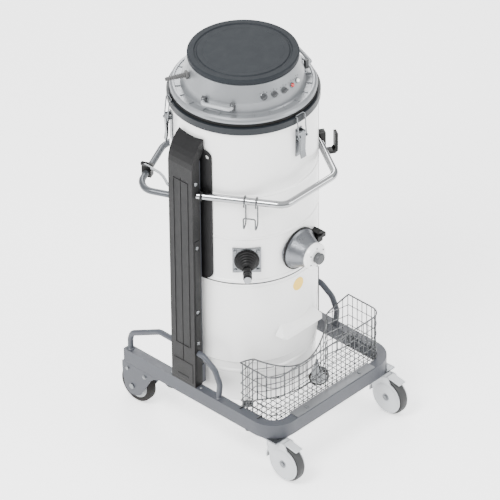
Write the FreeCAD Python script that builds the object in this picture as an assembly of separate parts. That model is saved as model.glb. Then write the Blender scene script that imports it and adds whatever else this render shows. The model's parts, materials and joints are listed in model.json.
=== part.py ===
"""Industrial shop vacuum on a wheeled frame: a separate solid for every piece.

The drum stands on the Z axis, the floor is Z = 0 and the front of the machine faces -Y.
All lengths are millimetres.
"""
import FreeCAD, Part
import math
import os

V = FreeCAD.Vector
UP = V(0, 0, 1)
ALONG_X = V(1, 0, 0)

# --- driving dimensions -------------------------------------------------
TOTAL_HEIGHT = 1259.5
DRUM_R = 222.0
SHEET = 2.0
CLEAR = 0.4
CHAMBER_Z = (570.0, 1127.0)
CHAMBER_BEADS = (732.0, 884.0)
RING_R = 229.5
RING_Z = (1108.0, 1130.0)
SEAT_R = (206.0, 220.0)
HEAD_Z = 1141.0
HEAD_TOP = 1241.0
LID_R = 167.0
LID_BASE = 1241.5

CONTAINER_R = 220.0
CONTAINER_Z = (118.0, 565.0)
CONTAINER_DROP = 25.0

FRAME_X = 275.0
FRAME_FRONT = 379.0
FRAME_REAR = 250.0
TUBE_W = 30.0
TUBE_Z = (141.0, 189.0)
FRAME_CORNER = 85.0
TUBE_WALL = 3.0

WHEEL_R = 62.5
WHEEL_W = 30.0
REAR_WHEEL = (246.0, 222.0)
CASTOR_PIN = (230.0, 349.0)
CASTOR_TRAIL = 38.0
BRAKE_PIVOT_Z = 130.5
SMALL_R = 32.5
SMALL_W = 22.0
SMALL_TRAIL = 30.0
SMALL_PIN_R = 192.0
SHAFT_R = 6.0
SHAFT_GAP = 0.06

COLUMN_HALF = 49.0
COLUMN_IN = 243.0
COLUMN_BEND = 985.0
COLUMN_TOP = 1074.0

RAIL_R = 11.0
RAIL_Z = 884.0
RAIL_PATH = [(-254.4, -37.5), (-110, -272), (110, -272), (254.4, -37.5)]
HANDLE_R = 10.0
HANDLE_Z = 845.0
HANDLE_PATH = [(-252, 36), (-293, 128), (-268, 170), (-90, 252), (90, 252),
               (268, 170), (293, 128), (252, 36)]
LEVER_PIVOT = (-238.0, 62.0, 851.0)
LEVER_CLIP = (-216.0, 194.0)
ARCH_X = 260.0
ARCH_R = 9.0
ARCH_TOP = 313.0

INLET_Z = 651.0
INLET_BASE_R = 64.0
INLET_TIP_R = 41.0
INLET_TIP_Y = -280.0
INLET_BORE = 35.0
SHAKER_Z = 657.0
SHAKER_AZ = -135.0
SHAKER_PLATE = 86.0

LATCH_AZ = (-90.0, 150.0, 30.0)
LATCH_PIVOT = (234.0, 1072.0)
BAIL_PIN = (240.0, 1060.0)
SWITCH_AZ = (-116.5, -105.5, -94.0)
LAMP_AZ = (-82.5, -73.0)
PANEL_Z = 1202.0
PANEL_R = 177.0
PANEL_TILT = 15.8
GLAND_AZ = 155.0
GLAND_Z = 1216.0
GRIP_AZ = (-160.0, -20.0)
MOTOR_R = 66.0
MOTOR_RING = 84.0

BASKET_X = 240.0
BASKET_FRONT = 343.0
BASKET_REAR = 205.0
BASKET_Z = (150.0, 346.0)
BASKET_INNER_R = 246.0
BASKET_WALL = 2.5
SHELF_X = 172.0

PEDAL_TIP = 438.0
# the row's origin is the middle of the footprint, so the drum axis stands behind it
DRUM_Y = (PEDAL_TIP - (REAR_WHEEL[1] + WHEEL_R)) / 2


# --- helpers ------------------------------------------------------------
def box(x, y, z):
    """Box from (low, high) pairs."""
    return Part.makeBox(x[1] - x[0], y[1] - y[0], z[1] - z[0], V(x[0], y[0], z[0]))


def cyl(radius, length, base, axis=UP):
    return Part.makeCylinder(radius, length, base, axis)


def revolve(points, base=V(0, 0, 0), axis=UP, angle=360):
    """Solid of revolution about the Z axis from (radius, height) points, then turned to its axis."""
    wire = Part.makePolygon([V(r, 0, z) for r, z in points] + [V(points[0][0], 0, points[0][1])])
    solid = Part.Face(wire).revolve(V(0, 0, 0), UP, angle)
    solid.Placement = FreeCAD.Placement(base, FreeCAD.Rotation(UP, axis))
    return solid


def prism(points, direction, plane):
    """Extrude a closed outline. plane maps an outline pair to a point."""
    corners = [plane(*p) for p in points]
    return Part.Face(Part.makePolygon(corners + corners[:1])).extrude(direction)


def tube(points, radius, bend):
    """Round bar along straight runs joined by tangent arcs."""
    pts = [V(*p) for p in points]
    edges = []
    start = pts[0]
    for before, corner, after in zip(pts, pts[1:], pts[2:]):
        a = (before - corner).normalize()
        b = (after - corner).normalize()
        half = a.getAngle(b) / 2
        cut = min(bend / math.tan(half), 0.46 * (before - corner).Length, 0.46 * (after - corner).Length)
        r = cut * math.tan(half)
        centre = corner + (a + b).normalize() * (r / math.sin(half))
        first = corner + a * cut
        last = corner + b * cut
        middle = centre + (corner - centre).normalize() * r
        edges.append(Part.LineSegment(start, first).toShape())
        edges.append(Part.Arc(first, middle, last).toShape())
        start = last
    edges.append(Part.LineSegment(start, pts[-1]).toShape())
    path = Part.Wire(edges)
    ring = Part.Wire(Part.Circle(pts[0], pts[1] - pts[0], radius).toShape())
    return path.makePipeShell([ring], True, False)


def turned(shape, degrees):
    """Copy turned about the drum axis."""
    copy = shape.copy()
    copy.rotate(V(0, 0, 0), UP, degrees)
    return copy


def mirrored(shape):
    """Copy on the other side of the machine."""
    return shape.mirror(V(0, 0, 0), ALONG_X)


def both(shape):
    return [shape, mirrored(shape)]


def union(shapes):
    shapes = list(shapes)
    return shapes[0].fuse(shapes[1:]).removeSplitter()


def save(name, shapes):
    """Write one node, moved so that the origin is the middle of the footprint."""
    shapes = shapes if isinstance(shapes, list) else [shapes]
    solids = [s for shape in shapes for s in shape.Solids]
    whole = solids[0] if len(solids) == 1 else Part.makeCompound(solids)
    whole = whole.copy()
    whole.translate(V(0, DRUM_Y, 0))
    if not whole.isValid():
        print("invalid:", name)
    whole.exportStep(f"parts/{name}.step")
    print(name, len(solids), round(sum(s.Volume for s in solids) / 1000, 1), "cm3")


# --- frame --------------------------------------------------------------
def frame_outline(inset):
    """U-shaped outline, open at the rear, inset from the outer faces."""
    x = FRAME_X - inset
    front = -FRAME_FRONT + inset
    corner = max(FRAME_CORNER - inset, 8)
    k = corner * (1 - math.sqrt(0.5))
    left_arc = Part.Arc(V(-x, front + corner, 0), V(-x + k, front + k, 0), V(-x + corner, front, 0))
    right_arc = Part.Arc(V(x - corner, front, 0), V(x - k, front + k, 0), V(x, front + corner, 0))
    return x, front, corner, left_arc, right_arc


def frame_slab(inset, depth, z_low, z_high):
    """Bar of the given depth that follows the U, between two heights."""
    x, front, corner, left, right = frame_outline(inset)
    xi, front_i, corner_i, left_i, right_i = frame_outline(inset + depth)
    rear = FRAME_REAR
    lines = [
        Part.LineSegment(V(-x, rear, 0), V(-x, front + corner, 0)), left,
        Part.LineSegment(V(-x + corner, front, 0), V(x - corner, front, 0)), right,
        Part.LineSegment(V(x, front + corner, 0), V(x, rear, 0)),
        Part.LineSegment(V(x, rear, 0), V(xi, rear, 0)),
        Part.LineSegment(V(xi, rear, 0), V(xi, front_i + corner_i, 0)), right_i,
        Part.LineSegment(V(xi - corner_i, front_i, 0), V(-xi + corner_i, front_i, 0)), left_i,
        Part.LineSegment(V(-xi, front_i + corner_i, 0), V(-xi, rear, 0)),
        Part.LineSegment(V(-xi, rear, 0), V(-x, rear, 0)),
    ]
    wire = Part.Wire(Part.__sortEdges__([line.toShape() for line in lines]))
    slab = Part.Face(wire).extrude(V(0, 0, z_high - z_low))
    slab.translate(V(0, 0, z_low))
    return slab


def frame_tube():
    bar = frame_slab(0, TUBE_W, *TUBE_Z)
    hollow = frame_slab(TUBE_WALL, TUBE_W - 2 * TUBE_WALL, TUBE_Z[0] + TUBE_WALL, TUBE_Z[1] - TUBE_WALL)
    return bar.cut(hollow)


def rear_bracket():
    """Two hanging plates and the pad that joins them under the side tube."""
    y, z = REAR_WHEEL[1], WHEEL_R
    outline = [(104, 140.5), (128, 132), (146, 116), (170, 72), (190, 42), (212, 31), (234, 31),
               (252, 44), (260, 80), (264, 120), (264, 140.5)]
    plates = []
    for low in (-FRAME_X, -FRAME_X + 53):
        plates.append(prism(outline, V(5, 0, 0), lambda a, b: V(low, a, b)))
    pad = box((-FRAME_X, -FRAME_X + 58), (150, 262), (135.5, 140.5))
    end = box((-FRAME_X, -FRAME_X + TUBE_W), (FRAME_REAR + CLEAR, FRAME_REAR + 6), (135.5, TUBE_Z[1]))
    hole = cyl(SHAFT_R + SHAFT_GAP, 80, V(-FRAME_X - 10, y, z), ALONG_X)
    return union(plates + [pad, end]).cut(hole)


def rear_axle():
    y, z = REAR_WHEEL[1], WHEEL_R
    shaft = cyl(SHAFT_R, 66, V(-FRAME_X - 1, y, z), ALONG_X)
    head = cyl(9, 4, V(-FRAME_X - 4.4, y, z), ALONG_X)
    nut = cyl(9, 6, V(-FRAME_X + 58.4, y, z), ALONG_X)
    return union([shaft, head, nut])


def wheel(radius, width, base, hub_width, shaft=SHAFT_R):
    """Moulded wheel along X: rounded tread, dished sides, hub and bore."""
    w, h = width / 2, hub_width / 2
    bore = shaft + SHAFT_GAP
    section = [(bore, -h), (shaft + 7, -h), (shaft + 7, -w + 5), (radius * 0.66, -w + 5),
               (radius * 0.74, -w), (radius - 4, -w), (radius - 1, -w + 3), (radius, -w + 7)]
    section += [(r, -x) for r, x in reversed(section)]
    return revolve(section, base, ALONG_X)


def castor_plate():
    x, y = -CASTOR_PIN[0], -CASTOR_PIN[1]
    plate = box((x - 36, x + 30), (y - 24, y + 36), (136, 140.6))
    pin = cyl(SHAFT_R, 16, V(x, y, 120.5))
    return union([plate, pin])


def castor_fork():
    """Light swivel housing: head, shoulder, two side covers and a mudguard over the wheel."""
    x, y = -CASTOR_PIN[0], -CASTOR_PIN[1]
    wy, wz = y - CASTOR_TRAIL, WHEEL_R
    head = revolve([(SHAFT_R + SHAFT_GAP, 119), (30, 119), (30, 131), (27, 135.5),
                    (SHAFT_R + SHAFT_GAP, 135.5)], V(x, y, 0))
    cheeks = []
    for low in (-19.5, 16.0):
        disc = cyl(55, 3.5, V(x + low, wy, wz), ALONG_X)
        wing = prism([(y + 29, 124), (y + 29, 104), (wy + 52, wz), (wy - 10, wz), (wy - 18, 112),
                      (wy - 6, 134.5), (wy + 8, 134.5), (y - 20, 131)],
                     V(3.5, 0, 0), lambda a, b: V(x + low, a, b))
        cheeks.append(disc.fuse(wing))
    guard = cyl(69, 39, V(x - 19.5, wy, wz), ALONG_X).cut(cyl(65, 60, V(x - 30, wy, wz), ALONG_X))
    keep = prism([(wy, wz), (wy + 85, wz - 5), (wy + 85, 119.5), (y + 24, 131), (wy + 6, 131),
                  (wy - 12, 150)],
                 V(39, 0, 0), lambda a, b: V(x - 19.5, a, b))
    guard = guard.common(keep)
    axle = cyl(SHAFT_R, 39, V(x - 19.5, wy, wz), ALONG_X)
    room = cyl(65, 31.4, V(x - 15.7, wy, wz), ALONG_X).cut(cyl(SHAFT_R, 31.4, V(x - 15.7, wy, wz), ALONG_X))
    fork = union([head, guard, axle] + cheeks).cut(room)
    bore = cyl(SHAFT_R + SHAFT_GAP, 17, V(x, y, 119.5))
    slot = box((x - 15.8, x + 15.8), (wy - 40, wy + 7), (118.8, 140))
    pivot = cyl(2 + SHAFT_GAP, 60, V(x - 30, wy, BRAKE_PIVOT_Z), ALONG_X)
    return fork.cut(bore).cut(slot).cut(pivot)


def castor_brake():
    """Foot paddle over the wheel on a pin between the side covers."""
    x, y = -CASTOR_PIN[0], -CASTOR_PIN[1]
    wy, z = y - CASTOR_TRAIL, BRAKE_PIVOT_Z
    outline = [(wy, z - 2), (wy, z + 3.5), (wy - 10, z + 4), (-PEDAL_TIP + 4, z - 1), (-PEDAL_TIP, z - 5),
               (-PEDAL_TIP + 5, z - 6),
               (wy - 14, z - 0.5)]
    paddle = prism(outline, V(28, 0, 0), lambda a, b: V(x - 14, a, b))
    knuckle = cyl(3.8, 28, V(x - 14, wy, z), ALONG_X)
    pin = cyl(2, 39, V(x - 19.5, wy, z), ALONG_X)
    return union([paddle, knuckle, pin])


# --- container and its own castors --------------------------------------
def container():
    """Dust container: dished foot, two rolled beads, rim and a pressed pull lip at the front."""
    low, top = CONTAINER_Z
    r = CONTAINER_R
    outer = [(0, low), (196, low), (208, low + 6), (213, low + 18), (213, 232), (216, 236), (216, 242),
             (213, 246),
             (213, 268), (r, 276), (r, top - 8), (r + 1.6, top - 6), (r + 1.6, top), (r - SHEET, top)]
    inner = [(r - SHEET, 277), (211, 269), (211, low + 19), (206, low + 8), (195, low + SHEET),
             (0, low + SHEET)]
    shell = revolve(outer + inner)
    ridge = [(0, 398), (r - 12, 398), (r + 22, 372), (r + 26, 362), (r + 20, 360), (r + 16, 366),
             (r - 12, 366), (0, 366)]
    lip = prism([(a, b) for a, b in ridge[1:-1]], V(200, 0, 0), lambda a, b: V(-100, -a, b))
    slant = [(-112, 350), (-100, 350), (-58, 410), (-112, 410)]
    for outline in (slant, [(-a, b) for a, b in slant]):
        lip = lip.cut(prism(outline, V(0, 120, 0), lambda a, b: V(a, -r - 60, b)))
    for side in (1, -1):
        corner = [(side * 62, -r - 40), (side * 112, -r - 40), (side * 112, -r + 10)]
        lip = lip.cut(prism(corner, V(0, 0, 120), lambda a, b: V(a, b, 330)))
    lip = lip.cut(cyl(r - 1, 120, V(0, 0, 330)))
    return union([shell, lip])


def small_fork():
    """Pressed fork of a container castor, trailing outward along +X before it is turned."""
    x = SMALL_PIN_R
    cx, cz = x + SMALL_TRAIL, CONTAINER_DROP + SMALL_R
    top = cyl(17, 5, V(x, 0, CONTAINER_Z[0] - 8.4))
    stem = cyl(5, 3, V(x, 0, CONTAINER_Z[0] - 3.5))
    crown = box((x - 12, cx - 2), (-16, 16), (CONTAINER_Z[0] - 11.4, CONTAINER_Z[0] - 8.4))
    legs = []
    for low in (-16.0, 13.5):
        outline = [(x - 12, CONTAINER_Z[0] - 8.4), (cx - 2, CONTAINER_Z[0] - 8.4), (cx + 9, cz),
                   (cx + 4, cz - 8), (cx - 7, cz - 6)]
        legs.append(prism(outline, V(0, 2.5, 0), lambda a, b: V(a, low, b)))
    pin = cyl(4, 36, V(cx, -18, cz), V(0, 1, 0))
    return union([top, stem, crown, pin] + legs)


def small_wheel():
    cx, cz = SMALL_PIN_R + SMALL_TRAIL, CONTAINER_DROP + SMALL_R
    w = SMALL_W / 2
    bore = 4 + SHAFT_GAP
    section = [(bore, -w - 1), (10, -w - 1), (10, -w + 4), (SMALL_R - 9, -w + 4), (SMALL_R - 7, -w),
               (SMALL_R - 3, -w), (SMALL_R, -w + 4)]
    section += [(r, -a) for r, a in reversed(section)]
    return revolve(section, V(cx, 0, cz), V(0, 1, 0))


# --- columns ------------------------------------------------------------
def column_profile(inset):
    """Side outline of a cover: upright, then swept in to the drum. Pairs are (x, z)."""
    x = -FRAME_X + inset
    top = COLUMN_TOP - inset
    swept = []
    for step in range(7):
        t = step / 6
        swept.append((x + (52 - inset) * t ** 1.7,
                      COLUMN_BEND + (top - COLUMN_BEND) * (1 - (1 - t) ** 1.25)))
    return [(x, TUBE_Z[1] + CLEAR)] + swept + [(-214, top), (-214, 1046), (-COLUMN_IN, 1010),
                                               (-COLUMN_IN, TUBE_Z[1] + CLEAR)]


def column_cover():
    half = COLUMN_HALF
    outer = prism(column_profile(0), V(0, 2 * half, 0), lambda a, b: V(a, -half, b))
    room = prism([(a + 40 if a == -COLUMN_IN else a, b) for a, b in column_profile(3.5)],
                 V(0, 2 * half - 7, 0),
                 lambda a, b: V(a, -half + 3.5, b))
    below = box((-FRAME_X + 3.5, -COLUMN_IN + 1), (-half + 3.5, half - 3.5),
                (TUBE_Z[1] - 5, TUBE_Z[1] + 20))
    ridge = box((-FRAME_X - 1, -FRAME_X + 1.5), (-3, 0), (TUBE_Z[1] + 60, 940))
    return outer.cut(room).cut(below).cut(ridge).cut(cyl(DRUM_R + 7, 700, V(0, 0, 500)))


def column_post():
    """Steel channel inside the cover, with the block at its foot."""
    low, top = TUBE_Z[1] + CLEAR, 1000
    web = box((-268, -264), (-42, 42), (low, top))
    flanges = [box((-268, -233), (a, a + 4), (low, top)) for a in (-42, 38)]
    foot = box((-COLUMN_IN + CLEAR, -226), (-47, 47), (192, 250))
    foot = foot.fuse(cyl(8.5, 94, V(-234.3, -47, 250), V(0, 1, 0)))
    return union([web] + flanges).cut(box((-250, -220), (-37.9, 37.9), (low, top))).fuse(foot)


def saddle_plate():
    """Curved plate on the drum that the column is fixed to."""
    low, top, r = 574, 1036, DRUM_R + 2.2
    ring = cyl(r + 4.5, top - low, V(0, 0, low)).cut(cyl(r, top - low, V(0, 0, low)))
    outline = []
    half, corner = 72, 26
    for cy, cz, first in ((half - corner, top - corner, 0), (-half + corner, top - corner, 90),
                          (-half + corner, low + corner, 180), (half - corner, low + corner, 270)):
        for step in range(7):
            a = math.radians(first + step * 15)
            outline.append((cy + corner * math.cos(a), cz + corner * math.sin(a)))
    plate = ring.common(prism(outline, V(60, 0, 0), lambda a, b: V(-260, a, b)))
    for y in (-58, 58):
        plate = plate.cut(cyl(7, 60, V(-260, y, 1012), ALONG_X))
    return plate


def button_screw(base, axis):
    """Button-head screw: the head stands on the face, the shank goes in."""
    head = revolve([(0, 0), (6.5, 0), (5.8, 2.2), (3.5, 3.6), (0, 3.6)], base, axis)
    return head


def button_screws():
    screws = []
    for side in (-1, 1):
        for z in (350, 465, 700, 930):
            for y in (-COLUMN_HALF, COLUMN_HALF):
                screws.append(button_screw(V(side * 259, y, z), V(0, y, 0)))
        screws.append(button_screw(V(side * 118, -362, TUBE_Z[1] + 3.4), UP))
    return screws


def side_arches():
    """Guard hoops on the side tubes, one length behind and one ahead of each column."""
    base = TUBE_Z[1] + CLEAR
    rear = [(240, base - 5), (240, 226), (232, 250), (112, ARCH_TOP), (COLUMN_HALF + 0.5, ARCH_TOP)]
    front = [(-COLUMN_HALF - 0.5, ARCH_TOP), (-72, ARCH_TOP), (-118, 284), (-138, 240), (-132, base - 5)]
    hoops = []
    for path in (rear, front):
        hoop = tube([(-ARCH_X, y, z) for y, z in path], ARCH_R, 34)
        hoops += both(hoop.cut(box((-FRAME_X, -COLUMN_IN), (-300, 300), (TUBE_Z[0], base))))
    return hoops


def lever_bracket():
    """Ears and pin for the release lever, and the clip on the handle that holds it down."""
    x, y, z = LEVER_PIVOT
    ears = [box((a, a + 4), (COLUMN_HALF + CLEAR, y + 7), (z - 8, z + 8)) for a in (x - 9, x + 5)]
    back = box((x - 9, x + 9), (COLUMN_HALF + CLEAR, COLUMN_HALF + 3), (z - 16, z + 16))
    pin = cyl(4, 18, V(x - 9, y, z), ALONG_X)
    cx, cy = LEVER_CLIP
    grip = Part.makeBox(24, 30, 38, V(-12, -15, -15))
    grip.rotate(V(0, 0, 0), UP, math.degrees(math.atan2(82, 178)))
    grip.translate(V(cx, cy, HANDLE_Z))
    direction = V(178, 82, 0).normalize()
    grip = grip.cut(cyl(HANDLE_R + 0.1, 80, V(cx, cy, HANDLE_Z) - direction * 40, direction))
    slot = box((cx - 5.6, cx + 5.6), (cy - 40, cy + 40), (HANDLE_Z + 11.5, HANDLE_Z + 60))
    return [union([pin, back] + ears), grip.cut(slot)]


def release_lever():
    """Lever that lowers the container, lying in its clip."""
    x, y, z = LEVER_PIVOT
    knuckle = cyl(8, 9.4, V(x - 4.7, y, z), ALONG_X)
    bar = tube([(x, y + 2, z + 1), (x, y + 24, z + 3), (-222, 118, 860), (LEVER_CLIP[0], 150, 862.5),
                (LEVER_CLIP[0], 226, 862.5)], 4.6, 40)
    hand = cyl(8, 26, V(LEVER_CLIP[0], 218, 862.5), V(0, 1, 0))
    return union([knuckle, bar, hand]).cut(cyl(4 + SHAFT_GAP, 30, V(x - 15, y, z), ALONG_X))


def between_columns(bar):
    """Trim a bar's ends square to the faces of the column covers."""
    reach = COLUMN_HALF + CLEAR
    return bar.cut(box((-400, 400), (-reach, reach), (RAIL_Z - 100, RAIL_Z + 100)))


def rail():
    return between_columns(tube([(x, y, RAIL_Z) for x, y in RAIL_PATH], RAIL_R, 42))


def push_handle():
    return between_columns(tube([(x, y, HANDLE_Z) for x, y in HANDLE_PATH], HANDLE_R, 60))


def rail_point(t):
    """Point on the left slanted run of the rail, its direction, and the outward direction."""
    (x0, y0), (x1, y1) = RAIL_PATH[:2]
    along = V(x1 - x0, y1 - y0, 0)
    point = V(x0, y0, RAIL_Z) + along * t
    along.normalize()
    return point, along, V(along.y, -along.x, 0)


def accessory_hook():
    """Bent wire hook: hung over the rail, down, forward and up in one loop."""
    at, along, out = rail_point(0.62)
    wire, half = 2.3, 18.0
    hang = RAIL_R + wire + 0.3
    legs = []
    for side in (-1, 1):
        p = at + along * (side * half)
        path = [p + out * hang - UP * 6, p + out * hang + UP * hang, p - out * hang + UP * hang,
                p - out * hang - UP * 88,
                p + out * 20 - UP * 92, p + out * 22 - UP * 58]
        path[0] = p + out * hang - UP * 14
        legs.append(tube([tuple(q) for q in path], wire, 11))
    a, b = [at + along * (s * half) + out * 22 - UP * 56 for s in (-1, 1)]
    loop = tube([tuple(a - UP * 4), tuple(a + UP * 8), tuple(b + UP * 8), tuple(b - UP * 4)], wire, 9)
    return union(legs + [loop])


def cable_holder():
    """Moulded hook on the right slanted run of the rail, open at the top."""
    at, along, out = rail_point(0.24)
    outline = [(-15, -17), (14, -17), (14, -52), (22, -62), (54, -62), (62, -54), (62, 8), (53, 8),
               (53, -46), (47, -52),
               (29, -52), (24, -46), (24, 18), (-15, 18)]
    hook = prism(outline, V(0, 24, 0), lambda a, b: V(a, -12, b))
    hook.rotate(V(0, 0, 0), UP, math.degrees(math.atan2(out.y, out.x)))
    hook.translate(at)
    drum = cyl(DRUM_R + 2.6, 200, V(0, 0, RAIL_Z - 100))
    return mirrored(hook.cut(cyl(RAIL_R + 0.1, 80, at - along * 40, along)).cut(drum))


# --- basket -------------------------------------------------------------
def basket_plan(inset):
    """Plan outline of the basket: straight front and ends, back wall round the container."""
    x, front, rear = BASKET_X - inset, -BASKET_FRONT + inset, -BASKET_REAR - inset
    r, corner = BASKET_INNER_R + inset, 40 - inset
    k = corner * (1 - math.sqrt(0.5))
    left_in = V(-r * math.sin(math.radians(40)), -r * math.cos(math.radians(40)), 0)
    right_in = V(-left_in.x, left_in.y, 0)
    edges = [
        Part.LineSegment(V(-x, rear, 0), V(-x, front + corner, 0)),
        Part.Arc(V(-x, front + corner, 0), V(-x + k, front + k, 0), V(-x + corner, front, 0)),
        Part.LineSegment(V(-x + corner, front, 0), V(x - corner, front, 0)),
        Part.Arc(V(x - corner, front, 0), V(x - k, front + k, 0), V(x, front + corner, 0)),
        Part.LineSegment(V(x, front + corner, 0), V(x, rear, 0)),
        Part.LineSegment(V(x, rear, 0), right_in),
        Part.Arc(right_in, V(0, -r, 0), left_in),
        Part.LineSegment(left_in, V(-x, rear, 0)),
    ]
    return Part.Face(Part.Wire(Part.__sortEdges__([e.toShape() for e in edges])))


def basket():
    """Open basket with high ends and a back wall that dips in the middle."""
    low, top = BASKET_Z
    body = basket_plan(0).extrude(V(0, 0, top - low))
    room = basket_plan(BASKET_WALL).extrude(V(0, 0, top - low))
    room.translate(V(0, 0, BASKET_WALL))
    shell = body.cut(room)
    shell.translate(V(0, 0, low))
    dip = prism([(-215, top + 20), (-205, top), (-150, 288), (0, 238), (150, 288), (205, top),
                 (215, top + 20)],
                V(0, 105, 0), lambda a, b: V(a, -BASKET_INNER_R - 45, b))
    lugs = [box((-262, -BASKET_X + 1), (y, y + 16), (TUBE_Z[1] + CLEAR, TUBE_Z[1] + 3)) for y in (-300,
            -228)]
    return union([shell.cut(dip)] + [lug for one in lugs for lug in both(one)])


def basket_shelf():
    """Flat bar on the front tube that the basket hooks over."""
    return box((-SHELF_X, SHELF_X), (-FRAME_FRONT + 2, -BASKET_FRONT - CLEAR),
               (TUBE_Z[1] + CLEAR, TUBE_Z[1] + 3.4))


# --- drum ---------------------------------------------------------------
def filter_chamber():
    low, top = CHAMBER_Z
    r = DRUM_R
    section = [(r - SHEET, low), (r, low)]
    for z in CHAMBER_BEADS:
        section += [(r, z - 6), (r + 1.8, z - 2.5), (r + 1.8, z + 2.5), (r, z + 6)]
    section += [(r, top), (r - SHEET, top)]
    shell = revolve(section)
    inlet = cyl(INLET_BORE + 4, 60, V(0, -190, INLET_Z), V(0, -1, 0))
    shaker = turned(cyl(20, 60, V(190, 0, SHAKER_Z), ALONG_X), SHAKER_AZ)
    return shell.cut(inlet).cut(shaker)


def chamber_seal():
    """Rubber ring between the chamber and the container."""
    low, top = CONTAINER_Z[1] + 0.5, CHAMBER_Z[0]
    return revolve([(DRUM_R - 9, low), (DRUM_R - 1, low), (DRUM_R - 1, top - 0.2), (DRUM_R - 9, top - 0.2)])


def top_ring():
    """Clamp ring and its gasket between drum and head."""
    low, top = RING_Z
    inner, outer = SEAT_R
    return revolve([(DRUM_R + 0.2, low), (RING_R, low), (RING_R, top), (outer, top), (outer, HEAD_Z - 0.2),
                    (inner, HEAD_Z - 0.2), (inner, top - 2.5), (DRUM_R + 0.2, top - 2.5)])


def star_prism(outer, inner, low, high):
    """Pleated column with sharp folds."""
    pleats = 24
    outline = []
    for step in range(2 * pleats):
        a = math.pi * step / pleats
        r = outer if step % 2 == 0 else inner
        outline.append((r * math.cos(a), r * math.sin(a)))
    return prism(outline, V(0, 0, high - low), lambda a, b: V(a, b, low))


def filter_star():
    """Pleated star filter hung from its collar."""
    star = star_prism(196, 150, 790, 1120).cut(star_prism(186, 143, 796, 1125))
    collar = cyl(214, 7, V(0, 0, 1119.5)).cut(cyl(142, 10, V(0, 0, 1119)))
    return union([star, collar])


def inlet_cone():
    """Cast inlet: flange on the drum, cone and a short collar."""
    steps = [(INLET_BASE_R, 200), (INLET_BASE_R, 228), (INLET_BASE_R - 5, 233), (INLET_TIP_R + 2, 266),
             (INLET_TIP_R, 270),
             (INLET_TIP_R, -INLET_TIP_Y), (INLET_BORE, -INLET_TIP_Y), (INLET_BORE, 190),
             (INLET_BASE_R - 6, 190)]
    cone = revolve(steps, V(0, 0, INLET_Z), V(0, -1, 0))
    return cone.cut(cyl(DRUM_R + 0.2, 300, V(0, 0, 500)))


def inlet_cap():
    steps = [(0, 258), (INLET_BORE - 0.5, 258), (INLET_BORE - 0.5, 280.5), (INLET_TIP_R + 1, 280.5),
             (INLET_TIP_R + 2, 284),
             (INLET_TIP_R, 293), (30, 297), (17, 297), (15, 301), (18, 309), (15, 314), (0, 314)]
    return revolve(steps, V(0, 0, INLET_Z), V(0, -1, 0))


def inlet_clamp():
    """Spring catch beside the inlet."""
    body = box((66, 88), (-238, -196), (640, 676))
    jaw = box((58, 80), (-246, -234), (650, 668))
    lever = box((80, 100), (-240, -206), (652, 666))
    catch = union([body, lever, jaw])
    cone_room = revolve([(0, 190), (INLET_BASE_R + CLEAR, 190), (INLET_BASE_R + CLEAR, 228),
                         (INLET_BASE_R - 4, 234),
                         (INLET_TIP_R + 3, 266), (0, 266)], V(0, 0, INLET_Z), V(0, -1, 0))
    return catch.cut(cyl(DRUM_R + 0.3, 300, V(0, 0, 500))).cut(cone_room)


def shaker_plate():
    half = SHAKER_PLATE / 2
    plate = box((214, 226), (-half, half), (SHAKER_Z - half, SHAKER_Z + half))
    plate = plate.cut(cyl(DRUM_R + 0.3, 300, V(0, 0, 500))).cut(cyl(18, 60, V(190, 0, SHAKER_Z), ALONG_X))
    return turned(plate, SHAKER_AZ)


def shaker_screws():
    off = SHAKER_PLATE / 2 - 9
    heads = [button_screw(V(226.2, y, SHAKER_Z + z), ALONG_X) for y in (-off, off) for z in (-off, off)]
    return [turned(h, SHAKER_AZ) for h in heads]


def shaker_bellows():
    """Rubber bellows in stepped folds round the shaker rod."""
    section = [(10, 226.3), (38, 226.3), (38, 229)]
    radii = (35, 31, 27, 23, 19)
    for fold, r in enumerate(radii):
        z = 229 + fold * 7.5
        section += [(r - 4, z + 1), (r, z + 4), (r - 2, z + 7)]
    section += [(14, 268), (14, 273), (10, 273)]
    return turned(revolve(section, V(0, 0, SHAKER_Z), ALONG_X), SHAKER_AZ)


def shaker_knob():
    section = [(0, 150), (26, 150), (26, 154), (9.5, 154), (9.5, 276), (13, 284), (14, 296), (12, 300),
               (12, 303), (13.5, 308),
               (13.5, 320), (10, 327), (0, 329)]
    return turned(revolve(section, V(0, 0, SHAKER_Z), ALONG_X), SHAKER_AZ)


# --- suction head -------------------------------------------------------
def head_shell():
    outer = [(220, HEAD_Z), (220, 1147), (217.5, 1153), (212, 1157), (207, 1157), (205, 1153.5),
             (188, 1153.5), (186, 1158),
             (181, 1188), (166, HEAD_TOP)]
    inner = [(150, HEAD_TOP), (150, HEAD_TOP - 3), (163, HEAD_TOP - 3), (178, 1187), (183, 1157),
             (183, 1150.5), (204, 1150.5),
             (204, HEAD_Z)]
    shell = revolve(outer + inner)
    for az in SWITCH_AZ:
        shell = shell.cut(panel_cyl(az, 3.1, -12, 10))
    gland = turned(cyl(6.2, 60, V(140, 0, GLAND_Z), ALONG_X), GLAND_AZ)
    return shell.cut(gland)


def head_lid():
    """Dark lid: rounded rim, a ring groove and a raised middle."""
    z, top, r = LID_BASE, TOTAL_HEIGHT, LID_R
    section = [(0, top - 6), (r - 6, top - 6), (r - 6, z), (r - 4, z), (r, z + 2.5), (r, top - 4),
               (r - 1.2, top - 1.2), (r - 4, top), (r - 20, top),
               (r - 23, top - 3), (r - 27, top - 3), (r - 30, top - 0.5), (0, top - 0.5)]
    return revolve(section)


def panel_axis(az):
    tilt, a = math.radians(PANEL_TILT), math.radians(az)
    normal = V(math.cos(tilt) * math.cos(a), math.cos(tilt) * math.sin(a), math.sin(tilt))
    point = V(PANEL_R * math.cos(a), PANEL_R * math.sin(a), PANEL_Z)
    return point, normal


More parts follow.
